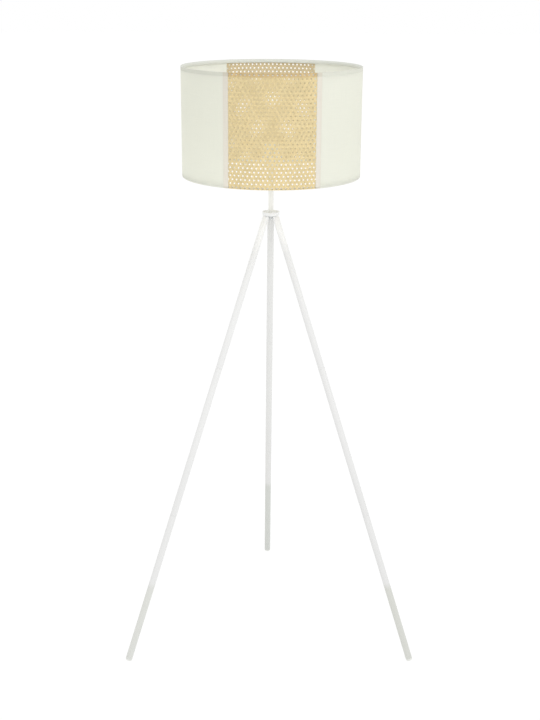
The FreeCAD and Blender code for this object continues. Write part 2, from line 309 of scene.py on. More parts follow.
@dataclass(frozen=True)
class LaminatedCloth(Finish):
    """Cotton and linen cloth laminated on a stiff clear backing: matt, a little see-through.

    Reads the piece's UV map, in metres: u runs round the drum and v up it. Threads are 0.7 mm
    apart. Slubs 56 mm long and 1.1 mm thick, in both directions, make faint streaks. Along the
    hoops the turned edge inside lets less light through, further at the top than at the foot,
    and the cloth there is darkened as painted shade of that edge. Over the cane the glue line is
    a little warmer and lets less light through too. The cloth is lighter towards the foot and
    darker towards the top, as painted light. The cloth's inner side is the pale liner.
    """

    hem_colour: str = "EDEDE8"
    lap_colour: str = "F7F0EB"
    liner: str = "FAFAF4"
    top_tone: float = 1.0
    foot_tone: float = 1.0
    half_width: float = 0.2
    half_height: float = 0.135
    hem: float = 9.0 * MM
    foot_hem: float = 4.0 * MM
    lap: float = 13.5 * MM
    soft: float = 1.0 * MM
    thread: float = 0.7 * MM
    slub_long: float = 55.556 * MM
    slub_thick: float = 1.1111 * MM
    through: float = 0.5
    through_glue: float = 0.12
    relief: float = 0.7
    depth: float = 0.12 * MM
    tones: tuple[float, float] = (0.93, 1.06)
    glow: str = "F6F7F0"
    shader: ClassVar[dict[str, float]] = {"Sheen Weight": 0.12, "Sheen Roughness": 0.4}

    def pattern(self, tree: bpy.types.NodeTree) -> Layers:
        """Adds the weave, its slubs, the hem and lap tones and the light that comes through."""
        place = add_node(tree, "UVMap", uv_map="Cloth").outputs[0]
        parts = add_node(tree, "SeparateXYZ", {"Vector": place})
        across, up = parts.outputs[0], parts.outputs[1]
        # painted light: lighter towards the foot, darker towards the top
        colour = self.toned(tree, linear(self.colour), (
            up, self.foot_tone, self.top_tone, -self.half_height, self.half_height))
        along, over = 1 / self.slub_long, 1 / self.slub_thick
        for stretch in ((along, over, 1.0), (over, along, 1.0)):
            long_way = add_node(tree, "Mapping", {"Vector": place, "Scale": stretch})
            slub = add_node(tree, "TexNoise", {"Vector": long_way.outputs[0], "Scale": 1.0,
                                               "Detail": 2.0})
            colour = self.toned(tree, colour, (slub.outputs[0], *self.tones))
        down = add_node(tree, "Math", {0: up, 1: -1.0}, operation="MULTIPLY").outputs[0]
        side = add_node(tree, "Math", {0: across}, operation="ABSOLUTE").outputs[0]
        top, foot, lap = (
            add_node(tree, "MapRange", {"Value": value, "From Min": start - self.soft,
                                        "From Max": start + self.soft}).outputs[0]
            for value, start in ((up, self.half_height - self.hem),
                                 (down, self.half_height - self.foot_hem),
                                 (side, self.half_width - self.lap)))
        hem = add_node(tree, "Math", {0: top, 1: foot}, operation="MAXIMUM").outputs[0]
        # the hem tint is painted shade of the tape inside the hoops
        for share, tint in ((lap, self.lap_colour), (hem, self.hem_colour)):
            colour = add_node(tree, "Mix", {0: share, 6: colour, 7: linear(tint)},
                              data_type="RGBA", blend_type="MULTIPLY").outputs[2]
        inside = add_node(tree, "Attribute", attribute_name="inside").outputs["Fac"]
        colour = add_node(tree, "Mix", {0: inside, 6: colour, 7: linear(self.liner)},
                          data_type="RGBA").outputs[2]
        threads = [
            add_node(tree, "TexWave", {"Vector": place, "Scale": band_scale(self.thread),
                                       "Distortion": 0.6}, bands_direction=axis).outputs[1]
            for axis in ("X", "Y")]
        weave = add_node(tree, "Math", {0: threads[0], 1: threads[1]}, operation="MAXIMUM")
        glued = add_node(tree, "Math", {0: hem, 1: lap}, operation="MAXIMUM").outputs[0]
        through = add_node(tree, "MapRange", {"Value": glued, "To Min": self.through,
                                              "To Max": self.through_glue}).outputs[0]
        return Layers(colour, weave.outputs[0], self.roughness, through)


@dataclass(frozen=True)
class CottonTape(Finish):
    """Woven cotton edge tape: matt, with a fine rib across it 1.2 mm apart.

    Reads the piece's UV map, in metres: u runs round the hoop and v across the tape.
    """

    rib: float = 1.2 * MM
    cloud: float = 14.286 * MM
    relief: float = 0.5
    depth: float = 0.1 * MM
    tones: tuple[float, float] = (0.94, 1.03)

    def pattern(self, tree: bpy.types.NodeTree) -> Layers:
        """Adds the ribs and a faint uneven tone."""
        place = add_node(tree, "UVMap", uv_map="Cloth").outputs[0]
        rib = add_node(tree, "TexWave", {"Vector": place, "Scale": band_scale(self.rib),
                                         "Distortion": 0.5}, bands_direction="X")
        cloud = add_node(tree, "TexNoise", {"Vector": place, "Scale": 1 / self.cloud,
                                            "Detail": 3.0})
        return Layers(self.toned(tree, linear(self.colour), (cloud.outputs[0], *self.tones)),
                      rib.outputs[1], self.roughness)


@dataclass(frozen=True)
class PeeledCane(Finish):
    """Natural cane, peeled in flat strips and left unvarnished: straw tan with a waxy skin.

    Reads the strand's UV map, in metres: u runs along the strand and v across it. Fibres are
    0.25 mm apart and 40 mm long, and age marks are 22 mm long and 3 mm wide. Every strand has
    its own tone, the strip is darker at its sides, and it is darkened where it dips under
    another as painted shade. Its inner side is the paler pith. It is lighter towards the foot
    and darker towards the top as painted light, and the top edge under the tape is darkened as
    painted shade.
    """

    dark: str = "E2C67C"
    pale: str = "FEF5D0"
    pith: str = "FEFBF3"
    dip_colour: str = "EFE6D2"
    edge_colour: str = "F1E7DC"
    skin_share: float = 0.3
    pith_share: float = 0.45
    own: tuple[float, float] = (0.89, 1.08)
    age: tuple[float, float] = (0.87, 1.1)
    sides: tuple[float, float] = (1.04, 0.9)
    top_tone: float = 0.965
    foot_tone: float = 1.015
    height: float = 270.0 * MM
    edge: float = 9.0 * MM
    edge_soft: float = 2.0 * MM
    fibre: float = 0.25 * MM
    fibre_long: float = 40.0 * MM
    mark_long: float = 22.222 * MM
    mark_wide: float = 2.8571 * MM
    strip: float = 4.68 * MM
    through: float = 0.25
    relief: float = 0.8
    depth: float = 0.1 * MM
    glow: str = "FEF3D4"
    shader: ClassVar[dict[str, float]] = {"Coat Weight": 0.12, "Coat Roughness": 0.35}

    def pattern(self, tree: bpy.types.NodeTree) -> Layers:
        """Adds fibres, the strands' own tones, age marks, the pith and the darker dips."""
        strand_map = add_node(tree, "UVMap", uv_map="Strand").outputs[0]
        fibres, marks = (
            add_node(tree, "TexNoise", {
                "Vector": add_node(tree, "Mapping", {
                    "Vector": strand_map, "Scale": (1 / length, 1 / width, 1.0)}).outputs[0],
                "Scale": 1.0, "Detail": detail}).outputs[0]
            for length, width, detail in ((self.fibre_long, self.fibre, 3.0),
                                          (self.mark_long, self.mark_wide, 2.0)))
        across = add_node(tree, "SeparateXYZ", {"Vector": strand_map}).outputs[1]
        strand = add_node(tree, "Math", {0: across, 1: self.strip}, operation="DIVIDE")
        strand = add_node(tree, "Math", {0: strand.outputs[0]}, operation="FLOOR")
        own = add_node(tree, "TexWhiteNoise", {"W": strand.outputs[0]}, noise_dimensions="1D")
        side, inside, dip = (add_node(tree, "Attribute", attribute_name=name).outputs["Fac"]
                             for name in ("side", "inside", "dip"))
        share = add_node(tree, "MapRange", {"Value": fibres, "From Min": 0.3, "From Max": 0.7})
        colour = add_node(tree, "Mix", {0: share.outputs[0], 6: linear(self.dark),
                                        7: linear(self.pale)}, data_type="RGBA").outputs[2]
        colour = add_node(tree, "Mix", {0: self.skin_share, 6: colour, 7: linear(self.colour)},
                          data_type="RGBA").outputs[2]
        colour = self.toned(tree, colour, (own.outputs[0], *self.own), (marks, *self.age),
                            (side, *self.sides))
        inner = add_node(tree, "Math", {0: inside, 1: self.pith_share}, operation="MULTIPLY")
        colour = add_node(tree, "Mix", {0: inner.outputs[0], 6: colour, 7: linear(self.pith)},
                          data_type="RGBA").outputs[2]
        place = add_node(tree, "TexCoord").outputs["Object"]
        up = add_node(tree, "SeparateXYZ", {"Vector": place}).outputs["Z"]
        top = CAD_BOX[1].z
        # painted light: lighter towards the foot, darker towards the top
        colour = self.toned(tree, colour,
                            (up, self.foot_tone, self.top_tone, top - self.height, top))
        # painted shade along the top edge, under the tape
        under_tape_shade = add_node(tree, "MapRange", {
            "Value": up, "From Min": top - self.edge - self.edge_soft,
            "From Max": top - self.edge + self.edge_soft}).outputs[0]
        # painted shade where a strand dips under another, and under the top tape
        for share, tint in ((dip, self.dip_colour), (under_tape_shade, self.edge_colour)):
            colour = add_node(tree, "Mix", {0: share, 6: colour, 7: linear(tint)},
                              data_type="RGBA", blend_type="MULTIPLY").outputs[2]
        return Layers(colour, fibres, self.roughness, self.through)


WHITE_COAT = PowderCoat("satin white powder coat", "F7F7F4", 0.42)
# The hub's coat is the white coat made darker: painted shade under the drum.
HUB_COAT = PowderCoat("satin white powder coat, hub", "F2F3F3", 0.42)
# The legs wear one paint: these coats are lighter and darker copies of it, painted light and shade
# for how light falls on each leg.
LEFT_LEG_COAT = PowderCoat("satin white powder coat, left leg", "E8E8E7", 0.42,
                           foot_colour="D6D7D2", step_height=207.0 * MM, top_tone=1.16)
RIGHT_LEG_COAT = PowderCoat("satin white powder coat, right leg", "E5E5E4", 0.42,
                            foot_colour="CFD0CA", step_height=207.0 * MM, top_tone=1.18)
BACK_LEG_COAT = PowderCoat("satin white powder coat, back leg", "E4E4E2", 0.42,
                           foot_colour="CCCEC9", step_height=272.0 * MM)
WHITE_ENAMEL = PowderCoat("white dipped enamel on wire", "EBEBE8", 0.3, peel=2.0 * MM)
ZINC = PlatedMetal("white passivated zinc plate on steel", "F4F5F5", 0.6)
BRASS = PlatedMetal("pressed brass", "D8B566", 0.28, line=0.8 * MM)
FOOT_PLASTIC = MouldedPlastic("off-white moulded polyethylene", "DEDFDA", 0.55)
HOLDER_PLASTIC = MouldedPlastic("white moulded thermoplastic polyester", "ECECE8", 0.38)
# The left and right cloths are one cloth, toned by height for how light falls on each side:
# painted light.
LEFT_CLOTH = LaminatedCloth("ivory cotton and linen laminate, left", "F0F1E8", 0.85,
                            top_tone=0.94, foot_tone=1.06)
RIGHT_CLOTH = LaminatedCloth("ivory cotton and linen laminate, right", "F0F1E9", 0.85,
                             foot_tone=1.02)
TAPE = CottonTape("off-white cotton edge tape", "DADCD4", 0.9)
CANE = PeeledCane("peeled natural cane, unvarnished", "FCECBE", 0.5)


# ---- modelling by operators ----------------------------------------------------------

def deselect_all() -> None:
    """Leaves object mode with nothing selected."""
    if bpy.context.mode != "OBJECT":
        bpy.ops.object.mode_set(mode="OBJECT")
    bpy.ops.object.select_all(action="DESELECT")


def only(obj: bpy.types.Object) -> bpy.types.Object:
    """Selects one object alone and makes it the active one."""
    deselect_all()
    obj.select_set(True)
    bpy.context.view_layer.objects.active = obj
    return obj


def new_piece(name: str) -> bpy.types.Object:
    """Names the primitive that was just added, and its mesh, and gives it back."""
    obj = bpy.context.view_layer.objects.active
    obj.name = name
    obj.data.name = name
    return obj


def select_faces(obj: bpy.types.Object, wanted: Callable[[Vector, Vector], bool]) -> None:
    """Goes into face edit mode with only the wanted faces selected.

    Args:
        obj: The mesh object.
        wanted: Says from a face's centre and normal whether it is selected.
    """
    only(obj)
    bpy.ops.object.mode_set(mode="EDIT")
    bpy.ops.mesh.select_mode(type="FACE")
    bpy.ops.mesh.select_all(action="DESELECT")
    bpy.ops.object.mode_set(mode="OBJECT")
    for face in obj.data.polygons:
        face.select = wanted(face.center, face.normal)
    bpy.ops.object.mode_set(mode="EDIT")


def apply_modifier(obj: bpy.types.Object, kind: str, **settings: Any) -> None:
    """Adds a modifier with its settings and applies it."""
    only(obj)
    modifier = obj.modifiers.new(kind.title(), kind)
    for key, value in settings.items():
        setattr(modifier, key, value)
    bpy.ops.object.modifier_apply(modifier=modifier.name)


def ease_edges(obj: bpy.types.Object, width: float) -> None:
    """Rounds every edge that is sharper than 40 degrees."""
    apply_modifier(obj, "BEVEL", width=width, segments=2, limit_method="ANGLE",
                   angle_limit=math.radians(40))


def copied(obj: bpy.types.Object, name: str) -> bpy.types.Object:
    """Copies an object with a mesh of its own, under a new name."""
    other = obj.copy()
    other.data = obj.data.copy()
    other.name = other.data.name = name
    bpy.context.scene.collection.objects.link(other)
    return other


def settle(obj: bpy.types.Object, sharp: float = 35.0) -> bpy.types.Object:
    """Finishes a piece: smooth by angle, with its object at the origin, unturned.

    Args:
        obj: The piece.
        sharp: Edges sharper than this angle, in degrees, stay crisp.

    Returns:
        The same piece.
    """
    only(obj)
    bpy.ops.object.transform_apply(location=True, rotation=True, scale=True)
    bpy.ops.object.shade_smooth_by_angle(angle=math.radians(sharp))
    deselect_all()
    return obj


def points_of(obj: bpy.types.Object) -> np.ndarray:
    """Gives the mesh's points as an array of rows."""
    flat = np.zeros(len(obj.data.vertices) * 3)
    obj.data.vertices.foreach_get("co", flat)
    return flat.reshape(-1, 3)


def move_points(obj: bpy.types.Object, points: np.ndarray) -> None:
    """Puts an array of rows back as the mesh's points."""
    obj.data.vertices.foreach_set("co", points.astype(np.float32).ravel())
    obj.data.update()


def write_map(obj: bpy.types.Object, name: str, pairs: np.ndarray) -> None:
    """Writes a UV map from one pair of numbers for each point.

    Args:
        obj: The mesh object.
        name: The map's name.
        pairs: One (u, v) row for each point.
    """
    while obj.data.uv_layers:
        obj.data.uv_layers.remove(obj.data.uv_layers[0])
    layer = obj.data.uv_layers.new(name=name)
    corners = np.zeros(len(obj.data.loops), dtype=np.int64)
    obj.data.loops.foreach_get("vertex_index", corners)
    layer.data.foreach_set("uv", pairs[corners].astype(np.float32).ravel())


def mark_inside(obj: bpy.types.Object) -> None:
    """Writes the attribute "inside": 1 at the points whose surface looks at the lamp's axis."""
    normals = np.zeros(len(obj.data.vertices) * 3, dtype=np.float32)
    obj.data.vertex_normals.foreach_get("vector", normals)
    facing = (normals.reshape(-1, 3)[:, :2] * points_of(obj)[:, :2]).sum(1)
    inside = obj.data.attributes.new("inside", "FLOAT", "POINT")
    inside.data.foreach_set("value", (facing < 0).astype(np.float32))


def wrap_on_drum(flat: np.ndarray, radius: float, facing: float) -> np.ndarray:
    """Rolls flat points (along, up, out) on a drum about the Z axis.

    Args:
        flat: Rows of along the wall, height, and distance outwards from the radius.
        radius: The drum's radius where the distance outwards is 0.
        facing: The angle about Z that the middle of the panel faces, in radians.

    Returns:
        Rows of x, y and z.
    """
    angle = facing + flat[:, 0] / radius
    out = radius + flat[:, 2]
    return np.column_stack([out * np.cos(angle), out * np.sin(angle), flat[:, 1]])


def turned_ring(name: str, outline: Sequence[tuple[float, float]], steps: int) -> bpy.types.Object:
    """Spins a closed outline of (radius, height) about the lamp's axis.

    Args:
        name: The piece's name.
        outline: The corners of the ring's section, in order.
        steps: How many steps make the full turn.

    Returns:
        The ring.
    """
    deselect_all()
    bpy.ops.mesh.primitive_circle_add(vertices=len(outline), radius=0.1, fill_type="NOTHING")
    ring = new_piece(name)
    move_points(ring, np.array([(radius, 0.0, height) for radius, height in outline]))
    bpy.ops.object.mode_set(mode="EDIT")
    bpy.ops.mesh.select_all(action="SELECT")
    bpy.ops.mesh.spin(steps=steps, angle=2 * math.pi, center=(0, 0, 0), axis=(0, 0, 1))
    bpy.ops.mesh.select_all(action="SELECT")
    bpy.ops.mesh.remove_doubles(threshold=WELD)
    bpy.ops.mesh.normals_make_consistent(inside=False)
    bpy.ops.object.mode_set(mode="OBJECT")
    return ring


def threaded_sleeve(name: str, outline: Sequence[tuple[float, float]], span: tuple[float, float],
                    wall: float, steps: int) -> bpy.types.Object:
    """Sweeps one pitch of a thread up a helix, cuts it level and thickens it inwards.

    Args:
        name: The piece's name.
        outline: One pitch as (radius, height from 0), with the same radius at both ends.
        span: The heights of the level cuts at the bottom and the top.
        wall: How thick the sleeve is behind its surface.
        steps: How many steps make one turn.

    Returns:
        The sleeve.
    """
    low, high = span
    pitch = outline[-1][1]
    last = len(outline) - 1
    deselect_all()
    bpy.ops.mesh.primitive_circle_add(vertices=len(outline), radius=0.1, fill_type="NOTHING")
    sleeve = new_piece(name)
    move_points(sleeve, np.array([(radius, 0.0, low - pitch + rise) for radius, rise in outline]))
    bpy.ops.object.mode_set(mode="EDIT")
    bpy.ops.mesh.select_mode(type="EDGE")
    bpy.ops.mesh.select_all(action="DESELECT")
    bpy.ops.object.mode_set(mode="OBJECT")
    for edge in sleeve.data.edges:
        edge.select = set(edge.vertices) == {0, last}
    bpy.ops.object.mode_set(mode="EDIT")
    bpy.ops.mesh.delete(type="EDGE")
    bpy.ops.object.mode_set(mode="OBJECT")
    apply_modifier(sleeve, "SCREW", axis="Z", angle=2 * math.pi, screw_offset=pitch,
                   iterations=math.ceil((high - low) / pitch) + 1, steps=steps,
                   render_steps=steps)
    bpy.ops.object.mode_set(mode="EDIT")
    bpy.ops.mesh.select_all(action="SELECT")
    bpy.ops.mesh.remove_doubles(threshold=WELD)
    for way, level in ((-1, low), (1, high)):
        bpy.ops.mesh.select_all(action="SELECT")
        bpy.ops.mesh.bisect(plane_co=(0, 0, level), plane_no=(0, 0, way), clear_outer=True)
    bpy.ops.mesh.select_all(action="SELECT")
    bpy.ops.mesh.normals_make_consistent(inside=False)
    bpy.ops.object.mode_set(mode="OBJECT")
    middle = sleeve.data.polygons[len(sleeve.data.polygons) // 2]
    outward = middle.center.x * middle.normal.x + middle.center.y * middle.normal.y > 0
    apply_modifier(sleeve, "SOLIDIFY", thickness=wall, offset=-1.0 if outward else 1.0)
    if not outward:
        bpy.ops.object.mode_set(mode="EDIT")
        bpy.ops.mesh.select_all(action="SELECT")
        bpy.ops.mesh.flip_normals()
        bpy.ops.object.mode_set(mode="OBJECT")
    return sleeve


def joined(first: bpy.types.Object, *others: bpy.types.Object) -> bpy.types.Object:
    """Joins pieces into the first one."""
    only(first)
    for other in others:
        other.select_set(True)
    bpy.ops.object.join()
    return first


def finished(piece: bpy.types.Object, finish: Finish, body: str, node: str) -> bpy.types.Object:
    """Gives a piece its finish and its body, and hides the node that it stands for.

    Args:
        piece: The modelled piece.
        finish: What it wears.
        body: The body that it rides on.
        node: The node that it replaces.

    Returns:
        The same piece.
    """
    finish.wear(piece)
    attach(piece, body)
    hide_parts(node)
    return piece


@dataclass(frozen=True)
class Bar:
    """A straight round node of the frame: its two ends and its radius."""

    start: Vector
    end: Vector
    radius: float

    @classmethod
    def of_node(cls, node: str) -> "Bar":
        """Finds the axis of a straight round node from its points.

        Args:
            node: The node's name.

        Returns:
            Its bar, from the upper end to the lower one.
        """
        points = points_of(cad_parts[node])
        centre = (points.max(0) + points.min(0)) / 2
        axis = np.linalg.svd(points - points.mean(0), full_matrices=False)[2][0]
        axis = -axis * np.sign(axis[2])
        for _ in range(3):
            along = (points - centre) @ axis
            ends = [points[along < along.min() + 0.5 * MM].mean(0),
                    points[along > along.max() - 0.5 * MM].mean(0)]
            axis = (ends[1] - ends[0]) / np.linalg.norm(ends[1] - ends[0])
        away = points - ends[0]
        radius = np.linalg.norm(away - np.outer(away @ axis, axis), axis=1).max()
        return cls(Vector(ends[0]), Vector(ends[1]), float(radius))


def open_tube(name: str, bar: Bar, wall: float, ease: float) -> bpy.types.Object:
    """Models a round tube: a cylinder, inset at its ends, bridged through, edges eased.

    Args:
        name: The piece's name.
        bar: Its axis and outside radius.
        wall: The wall's thickness.
        ease: The width of the eased rims.

    Returns:
        The tube in its place.
    """
    deselect_all()
    length = (bar.end - bar.start).length
    bpy.ops.mesh.primitive_cylinder_add(vertices=64, radius=bar.radius, depth=length)
    tube = new_piece(name)
    select_faces(tube, lambda centre, normal: abs(normal.z) > 0.9)
    bpy.ops.mesh.inset(thickness=wall, use_even_offset=True)
    bpy.ops.mesh.bridge_edge_loops()
    bpy.ops.mesh.select_all(action="SELECT")
    bpy.ops.mesh.normals_make_consistent(inside=False)
    bpy.ops.object.mode_set(mode="OBJECT")
    ease_edges(tube, ease)
    way = (bar.end - bar.start).normalized()
    turn = Vector((0, 0, 1)).rotation_difference(way).to_matrix().to_4x4()
    tube.matrix_world = Matrix.Translation((bar.start + bar.end) / 2) @ turn
    return settle(tube)


# ---- sub-assemblies ------------------------------------------------------------------

class Edge(Enum):
    """The drum's two edges."""

    TOP = "top"
    BOTTOM = "bottom"

    @property
    def hoop(self) -> str:
        """The node of the hoop at this edge."""
        return self.value + "_ring"

    @property
    def node(self) -> str:
        """The node of the tape at this edge."""
        return self.value + "_binding"


class Side(Enum):
    """The three legs by where they stand."""

    BACK = "back"
    LEFT = "left"
    RIGHT = "right"

    @property
    def coat(self) -> PowderCoat:
        """The leg's coat, one paint toned with painted light and shade for that leg."""
        return {"back": BACK_LEG_COAT, "left": LEFT_LEG_COAT, "right": RIGHT_LEG_COAT}[self.value]


@dataclass
class Stand:
    """The three legs of three tubes each, the hub under the stem, and the feet."""

    leg_wall: float = 1.0 * MM
    stem_wall: float = 1.2 * MM
    ease: float = 0.3 * MM
    rod_pitch: float = 1.0 * MM
    rod_depth: float = 0.5 * MM
    rod_crest: tuple[float, float] = (0.45, 0.55)
    rod_wall: float = 0.45 * MM
    nut_bore: float = 5.05 * MM
    nut_chamfer: float = 0.6 * MM

    def build(self) -> list[bpy.types.Object]:
        """Makes the painted tubes and dresses the hub, the fasteners and the feet."""
        made = [self.leg(side, part) for side in Side for part in ("upper", "middle", "lower")]
        made += [self.stem(), self.rod(), self.nut()]
        for node in ("hub_leg_studs", "hub_washer", "leg_top_inserts", "leg_joint_sockets",
                     "leg_joint_studs"):
            ZINC.wear(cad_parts[node])
        HUB_COAT.wear(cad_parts["hub_disc"])
        HOLDER_PLASTIC.wear(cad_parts["cord_bush"])
        for side in Side:
            FOOT_PLASTIC.wear(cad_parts["foot_cap_" + side.value])
        return made

    def leg(self, side: Side, part: str) -> bpy.types.Object:
        """Models one tube section of a leg.

        Args:
            side: Which leg it is on.
            part: Which section of the leg it is.

        Returns:
            The tube.
        """
        node = f"leg_{part}_{side.value}"
        tube = open_tube("tube_" + part + "_" + side.value, Bar.of_node(node), self.leg_wall,
                         self.ease)
        return finished(tube, side.coat, STAND, node)

    def stem(self) -> bpy.types.Object:
        """Models the sleeve between the hub and the lampholder."""
        tube = open_tube("stem_tube", Bar.of_node("stem_sleeve"), self.stem_wall, self.ease)
        return finished(tube, WHITE_COAT, STAND, "stem_sleeve")

    def rod(self) -> bpy.types.Object:
        """Models the hollow rod with its fine thread, M10 x 1."""
        low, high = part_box("hollow_rod")
        root, pitch = high.x - self.rod_depth, self.rod_pitch
        crest = [(high.x, share * pitch) for share in self.rod_crest]
        rod = threaded_sleeve("threaded_rod", [(root, 0), *crest, (root, pitch)],
                              (low.z, high.z), self.rod_wall, 32)
        return finished(settle(rod, 25.0), ZINC, STAND, "hollow_rod")

    def nut(self) -> bpy.types.Object:
        """Models the nut under the hub: a turned ring with six flats and round chamfers."""
        low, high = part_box("hub_nut")
        corner, chamfer = high.x, self.nut_chamfer
        flat = corner * math.cos(math.pi / 6)
        nut = turned_ring("chamfered_nut", [
            (self.nut_bore, low.z), (flat, low.z), (corner, low.z + chamfer),
            (corner, high.z - chamfer), (flat, high.z), (self.nut_bore, high.z)], 72)
        points = points_of(nut)
        radii = np.hypot(points[:, 0], points[:, 1])
        angle = np.arctan2(points[:, 1], points[:, 0]) % (math.pi / 3) - math.pi / 6
        hexagon = np.where(radii > flat + 0.1 * MM, flat / np.cos(angle), radii)
        points[:, :2] *= (hexagon / radii)[:, None]
        move_points(nut, points)
        return finished(settle(nut, 20.0), ZINC, STAND, "hub_nut")


@dataclass
class Lampholder:
    """The E27 lampholder with its threads, and the ring that clamps the shade."""

    skirt: float = 19.75 * MM
    skirt_pitch: float = 2.5 * MM
    skirt_depth: float = 0.7 * MM
    skirt_wall: float = 0.3 * MM
    thread_ends: tuple[float, float] = (0.2 * MM, 0.9 * MM)
    flanks: tuple[float, ...] = (0.15, 0.4, 0.6, 0.85)
    collar: float = 19.5 * MM
    shoulder_top: float = 5.0 * MM
    shoulder_thick: float = 2.4 * MM
    cavity: float = 17.1 * MM
    mouth: float = 14.1 * MM
    mouth_deep: float = 2.0 * MM
    shell_pitch: float = 3.629 * MM
    shell_wave: float = 0.42 * MM
    shell_wall: float = 0.4 * MM
    shell_floor: float = 9.0 * MM
    play: float = 0.1 * MM
    clamp_wall: float = 3.0 * MM
    grip: float = 26.5 * MM
    grip_high: float = 3.0 * MM
    slope: float = 1.0 * MM
    notches: int = 24
    notch_deep: float = 0.9 * MM
    ease: float = 0.35 * MM

    def build(self) -> list[bpy.types.Object]:
        """Models the skirt, the shell and the clamp ring, and dresses the rest."""
        for finish, nodes in ((HOLDER_PLASTIC, ("holder_cap", "holder_core")),
                              (BRASS, ("centre_contact",)),
                              (ZINC, ("terminal_screws", "cap_screw"))):
            for node in nodes:
                finish.wear(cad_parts[node])
        return [self.body(), self.shell(), self.clamp()]

    def body(self) -> bpy.types.Object:
        """Models the skirt with the shoulder under the shade and the thread above it."""
        low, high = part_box("holder_body")
        seat = low.z + self.shoulder_top
        under = seat - self.shoulder_thick
        root = self.skirt - self.skirt_depth
        body = turned_ring("holder_skirt", [
            (self.cavity, low.z), (self.collar, low.z), (self.collar, under), (high.x, under),
            (high.x, seat), (root, seat), (root, high.z), (self.mouth, high.z),
            (self.mouth, high.z - self.mouth_deep), (self.cavity, high.z - self.mouth_deep)], 96)
        ease_edges(body, self.ease)
        radii = (root, self.skirt, self.skirt, root)
        flanks = [(radius, share * self.skirt_pitch) for radius, share in zip(radii, self.flanks)]
        thread = threaded_sleeve("skirt_thread", [(root, 0), *flanks, (root, self.skirt_pitch)],
                                 (seat + self.thread_ends[0], high.z - self.thread_ends[1]),
                                 self.skirt_wall, 64)
        return finished(settle(joined(body, thread), 25.0), HOLDER_PLASTIC, STAND, "holder_body")

    def shell(self) -> bpy.types.Object:
        """Models the brass shell with its rolled E27 thread and its floor."""
        low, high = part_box("screw_shell")
        middle = high.x - self.shell_wave - self.play
        turns = [number / 8 for number in range(9)]
        wave = [(middle + self.shell_wave * math.cos(2 * math.pi * turn), turn * self.shell_pitch)
                for turn in turns]
        shell = threaded_sleeve("threaded_shell", wave, (low.z + self.play, high.z),
                                self.shell_wall, 64)
        floor = turned_ring("shell_floor", [
            (self.shell_floor, low.z), (middle, low.z), (middle, low.z + self.shell_wall),
            (self.shell_floor, low.z + self.shell_wall)], 64)
        return finished(settle(joined(shell, floor), 50.0), BRASS, STAND, "screw_shell")

    def clamp(self) -> bpy.types.Object:
        """Models the clamp ring, scalloped round its grip."""
        low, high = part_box("clamp_ring")
        bore = self.skirt + self.play
        collar, rim = bore + self.clamp_wall, low.z + self.grip_high
        ring = turned_ring("clamp_nut", [
            (bore, low.z), (self.grip, low.z), (self.grip, rim), (collar, rim + self.slope),
            (collar, high.z), (bore, high.z)], 8 * self.notches)
        points = points_of(ring)
        radii = np.hypot(points[:, 0], points[:, 1])
        angle = np.arctan2(points[:, 1], points[:, 0])
        scallop = np.clip(np.cos(self.notches * angle), 0, 1) ** 2 * self.notch_deep
        points[:, :2] *= (1 - scallop * (radii > self.grip - self.play) / radii)[:, None]
        move_points(ring, points)
        ease_edges(ring, self.ease)
        return finished(settle(ring, 45.0), HOLDER_PLASTIC, "clamp_ring", "clamp_ring")


@dataclass
class ShadeFrame:
    """The hoops, the fitting and its arms."""

    def build(self) -> list[bpy.types.Object]:
        """Dresses the wire frame."""
        for node in ("top_ring", "bottom_ring", "spider_ring", "spider_arm_a", "spider_arm_b",
                     "spider_arm_c"):
            WHITE_ENAMEL.wear(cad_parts[node])
        return []


